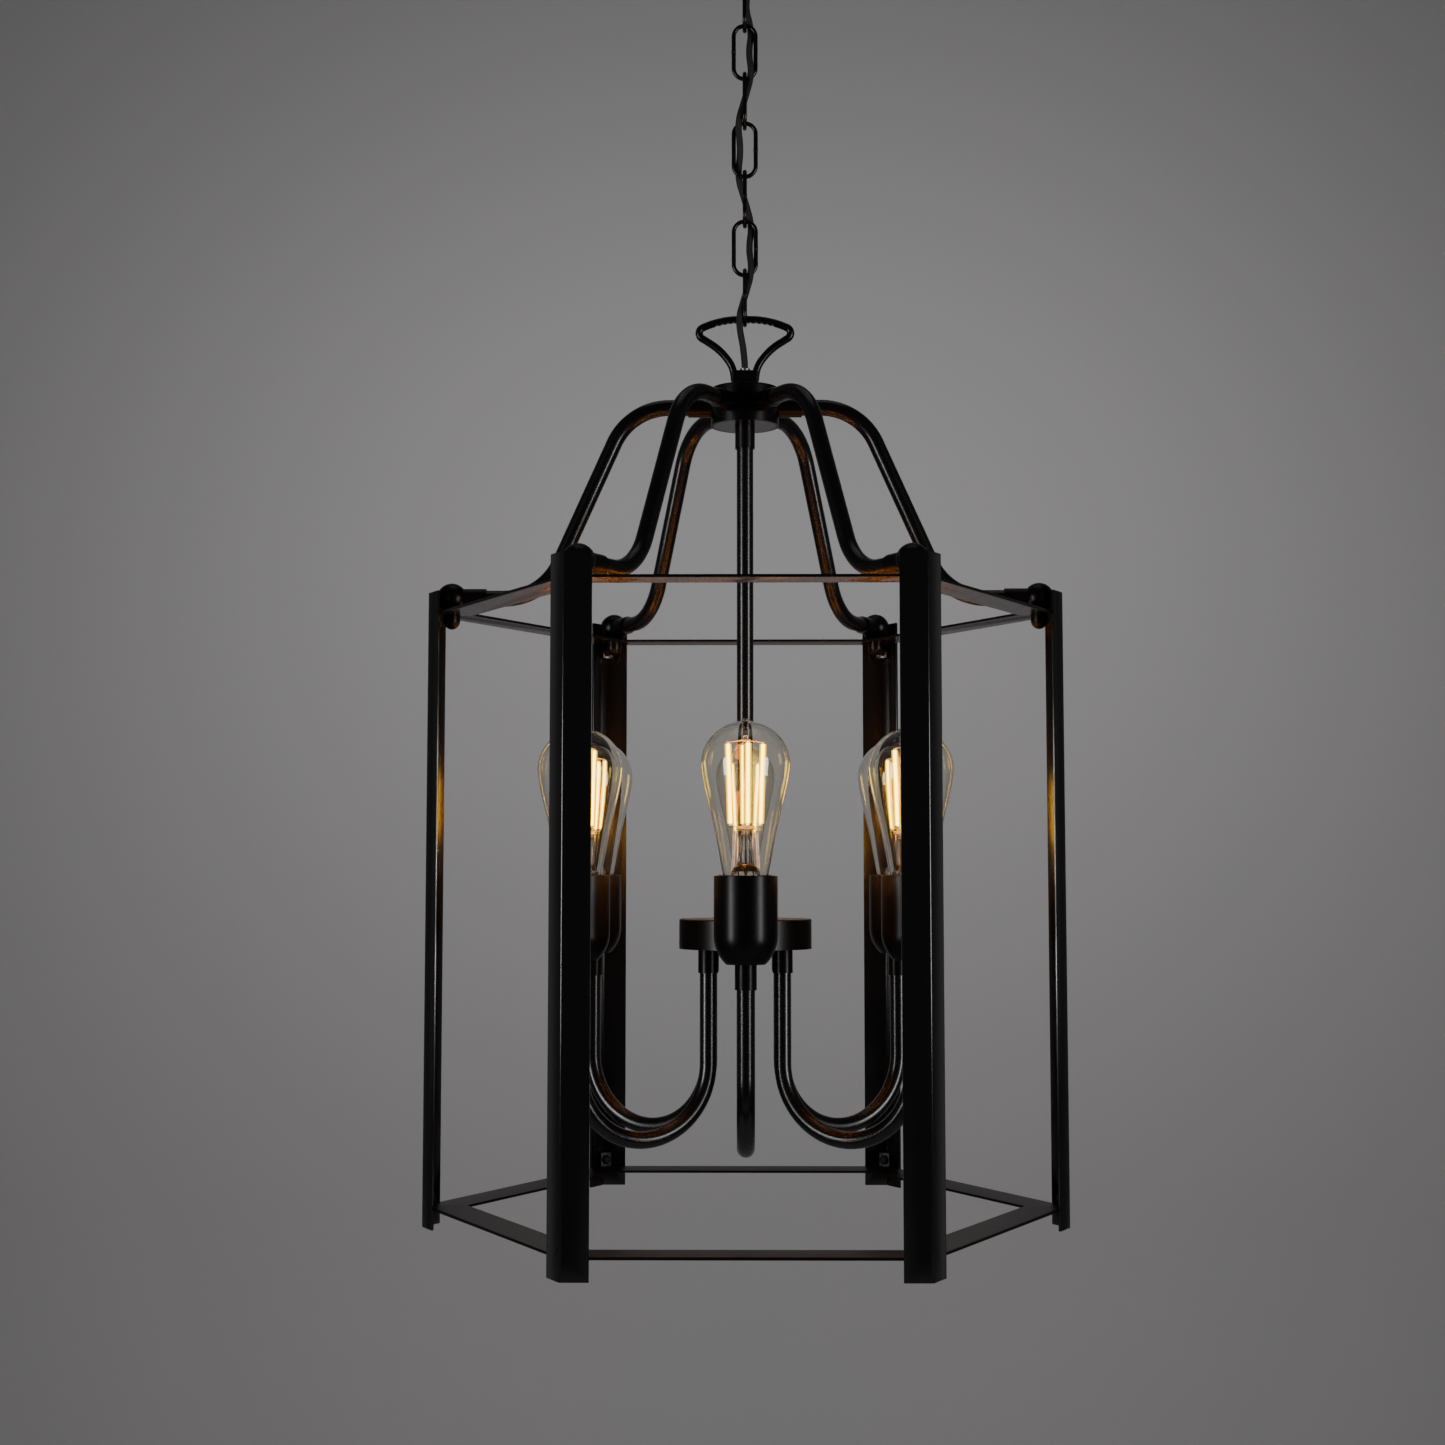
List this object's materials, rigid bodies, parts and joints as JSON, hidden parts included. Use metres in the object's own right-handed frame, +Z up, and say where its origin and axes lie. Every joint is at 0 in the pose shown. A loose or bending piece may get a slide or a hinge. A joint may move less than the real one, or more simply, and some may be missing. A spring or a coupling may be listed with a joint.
{
  "type": "hanging lantern",
  "caption": "Open hexagonal hanging lantern with a domed tube roof, curved lamp arms with clear bulbs, and a chain with its flex and ceiling canopy.",
  "frame": {"origin": "centre of the ceiling bracket's screw pattern, on the ceiling face", "axes": "+Z up along the chain into the ceiling; X through two opposite corners of the cage; -Y is the front, through a lamp arm"},
  "size_m": [0.4994, 0.433, 1.0763],
  "materials": {
    "black_metal": "satin black powder coat with a fine texture",
    "black_casting": "black painted casting, half gloss",
    "black_chain": "black painted welded wire, half gloss",
    "black_gloss_metal": "black painted turned metal, half gloss",
    "zinc_steel": "bright zinc plate",
    "terminal_ceramic": "pale moulding",
    "flex_braid": "black woven sleeve",
    "holder_plastic": "black moulding",
    "holder_brass": "plain brass",
    "contact_insulator": "black glass with a solder point",
    "cap_metal": "rolled bright cap",
    "bulb_glass": "clear blown glass"
  },
  "bodies": {
    "ceiling_fitting": {"ceiling_bracket": "zinc_steel", "ceiling_canopy": "black_metal", "terminal_block": "terminal_ceramic", "canopy_nipple": "zinc_steel", "canopy_loop": "black_casting", "flex_cable": "flex_braid"},
    "link_1": {"chain_link_1": "black_chain"},
    "link_2": {"chain_link_2": "black_chain"},
    "link_3": {"chain_link_3": "black_chain"},
    "link_4": {"chain_link_4": "black_chain"},
    "link_5": {"chain_link_5": "black_chain"},
    "link_6": {"chain_link_6": "black_chain"},
    "link_7": {"chain_link_7": "black_chain"},
    "lantern": {"suspension_loop": "black_casting", "loop_nipple": "zinc_steel", "upper_hub": "black_metal", "hub_plate": "black_metal", "roof_arm_1": "black_metal", "roof_arm_2": "black_metal", "roof_arm_3": "black_metal", "roof_arm_4": "black_metal", "roof_arm_5": "black_metal", "roof_arm_6": "black_metal", "corner_balls": "black_gloss_metal", "acorn_nuts": "black_gloss_metal", "top_ring": "black_metal", "bottom_ring": "black_metal", "post_1": "black_metal", "post_2": "black_metal", "post_3": "black_metal", "post_4": "black_metal", "post_5": "black_metal", "post_6": "black_metal", "post_screws": "black_gloss_metal", "centre_rod": "black_metal", "lower_hub": "black_metal", "lower_hub_cover": "black_metal", "tube_ferrules": "black_metal", "lamp_arms": "black_metal", "lampholder_cups": "black_metal", "lampholder_cores": "holder_plastic", "lampholder_contacts": "holder_brass"},
    "bulb_1_travel": {"bulb_1_contact": "contact_insulator"},
    "bulb_1": {"bulb_1_cap": "cap_metal", "bulb_1_glass": "bulb_glass"},
    "bulb_2_travel": {"bulb_2_contact": "contact_insulator"},
    "bulb_2": {"bulb_2_cap": "cap_metal", "bulb_2_glass": "bulb_glass"},
    "bulb_3_travel": {"bulb_3_contact": "contact_insulator"},
    "bulb_3": {"bulb_3_cap": "cap_metal", "bulb_3_glass": "bulb_glass"},
    "bulb_4_travel": {"bulb_4_contact": "contact_insulator"},
    "bulb_4": {"bulb_4_cap": "cap_metal", "bulb_4_glass": "bulb_glass"},
    "bulb_5_travel": {"bulb_5_contact": "contact_insulator"},
    "bulb_5": {"bulb_5_cap": "cap_metal", "bulb_5_glass": "bulb_glass"},
    "bulb_6_travel": {"bulb_6_contact": "contact_insulator"},
    "bulb_6": {"bulb_6_cap": "cap_metal", "bulb_6_glass": "bulb_glass"}
  },
  "joints": [
    {"name": "chain_hinge_1", "type": "hinge", "parent": "ceiling_fitting", "child": "link_1", "pos_m": [0, 0, -0.0882], "axis": [1, 0, 0], "range_deg": [-15, 15], "deforming": ["flex_cable"]},
    {"name": "chain_hinge_2", "type": "hinge", "parent": "link_1", "child": "link_2", "pos_m": [0, 0, -0.1279], "axis": [0, 1, 0], "range_deg": [-15, 15]},
    {"name": "chain_hinge_3", "type": "hinge", "parent": "link_2", "child": "link_3", "pos_m": [0, 0, -0.1681], "axis": [1, 0, 0], "range_deg": [-15, 15]},
    {"name": "chain_hinge_4", "type": "hinge", "parent": "link_3", "child": "link_4", "pos_m": [0, 0, -0.2083], "axis": [0, 1, 0], "range_deg": [-15, 15]},
    {"name": "chain_hinge_5", "type": "hinge", "parent": "link_4", "child": "link_5", "pos_m": [0, 0, -0.2485], "axis": [1, 0, 0], "range_deg": [-15, 15]},
    {"name": "chain_hinge_6", "type": "hinge", "parent": "link_5", "child": "link_6", "pos_m": [0, 0, -0.2887], "axis": [0, 1, 0], "range_deg": [-15, 15]},
    {"name": "chain_hinge_7", "type": "hinge", "parent": "link_6", "child": "link_7", "pos_m": [0, 0, -0.3289], "axis": [1, 0, 0], "range_deg": [-15, 15]},
    {"name": "chain_hinge_8", "type": "hinge", "parent": "link_7", "child": "lantern", "pos_m": [0, 0, -0.3691], "axis": [0, 1, 0], "range_deg": [-15, 15]},
    {"name": "bulb_1_rise", "type": "slide", "parent": "lantern", "child": "bulb_1_travel", "axis": [0, 0, 1], "range_m": [0, 0.015]},
    {"name": "bulb_1_unscrew", "type": "hinge", "parent": "bulb_1_travel", "child": "bulb_1", "pos_m": [0.12384, 0.0715, -0.8298], "axis": [0, 0, 1], "range_deg": [0, 1440]},
    {"name": "bulb_2_rise", "type": "slide", "parent": "lantern", "child": "bulb_2_travel", "axis": [0, 0, 1], "range_m": [0, 0.015]},
    {"name": "bulb_2_unscrew", "type": "hinge", "parent": "bulb_2_travel", "child": "bulb_2", "pos_m": [0, 0.143, -0.8298], "axis": [0, 0, 1], "range_deg": [0, 1440]},
    {"name": "bulb_3_rise", "type": "slide", "parent": "lantern", "child": "bulb_3_travel", "axis": [0, 0, 1], "range_m": [0, 0.015]},
    {"name": "bulb_3_unscrew", "type": "hinge", "parent": "bulb_3_travel", "child": "bulb_3", "pos_m": [-0.12384, 0.0715, -0.8298], "axis": [0, 0, 1], "range_deg": [0, 1440]},
    {"name": "bulb_4_rise", "type": "slide", "parent": "lantern", "child": "bulb_4_travel", "axis": [0, 0, 1], "range_m": [0, 0.015]},
    {"name": "bulb_4_unscrew", "type": "hinge", "parent": "bulb_4_travel", "child": "bulb_4", "pos_m": [-0.12384, -0.0715, -0.8298], "axis": [0, 0, 1], "range_deg": [0, 1440]},
    {"name": "bulb_5_rise", "type": "slide", "parent": "lantern", "child": "bulb_5_travel", "axis": [0, 0, 1], "range_m": [0, 0.015]},
    {"name": "bulb_5_unscrew", "type": "hinge", "parent": "bulb_5_travel", "child": "bulb_5", "pos_m": [0, -0.143, -0.8298], "axis": [0, 0, 1], "range_deg": [0, 1440]},
    {"name": "bulb_6_rise", "type": "slide", "parent": "lantern", "child": "bulb_6_travel", "axis": [0, 0, 1], "range_m": [0, 0.015]},
    {"name": "bulb_6_unscrew", "type": "hinge", "parent": "bulb_6_travel", "child": "bulb_6", "pos_m": [0.12384, -0.0715, -0.8298], "axis": [0, 0, 1], "range_deg": [0, 1440]}
  ],
  "couplings": [
    {"joint": "bulb_1_rise", "follows": "bulb_1_unscrew", "m_per_rad": 0.00057757},
    {"joint": "bulb_2_rise", "follows": "bulb_2_unscrew", "m_per_rad": 0.00057757},
    {"joint": "bulb_3_rise", "follows": "bulb_3_unscrew", "m_per_rad": 0.00057757},
    {"joint": "bulb_4_rise", "follows": "bulb_4_unscrew", "m_per_rad": 0.00057757},
    {"joint": "bulb_5_rise", "follows": "bulb_5_unscrew", "m_per_rad": 0.00057757},
    {"joint": "bulb_6_rise", "follows": "bulb_6_unscrew", "m_per_rad": 0.00057757}
  ]
}
